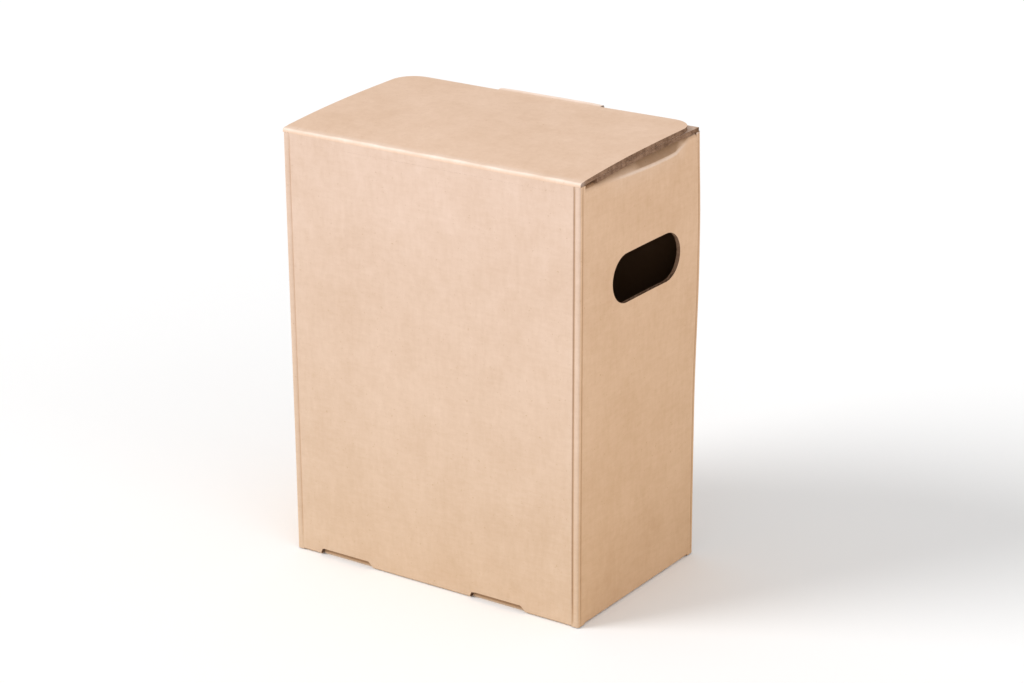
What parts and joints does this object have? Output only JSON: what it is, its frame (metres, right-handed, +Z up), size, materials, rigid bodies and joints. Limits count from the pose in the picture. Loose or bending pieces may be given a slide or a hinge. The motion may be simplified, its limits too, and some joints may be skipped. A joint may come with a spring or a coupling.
{
  "type": "bag in box carton",
  "caption": "Tall corrugated carton for a bag in box, with a tongue-locked lid flap, two hand holes and tucked bottom tabs.",
  "frame": {"origin": "on the floor, under the middle of the carton", "axes": "+Z up, +X along the wide walls to the viewer's right, -Y out of the wide front wall that carries the lid's fold"},
  "size_m": [0.25, 0.155, 0.3331],
  "materials": {
    "kraft_board": "matt kraft liner with fine fibres",
    "kraft_lid": "matt kraft liner with fine fibres"
  },
  "bodies": {
    "carton": {"carton_body": "kraft_board"},
    "lid": {"lid_flap": "kraft_lid"}
  },
  "joints": [
    {"name": "lid_hinge", "type": "hinge", "parent": "carton", "child": "lid", "pos_m": [0, -0.0775, 0.327], "axis": [1, 0, 0], "range_deg": [0, 250]}
  ]
}
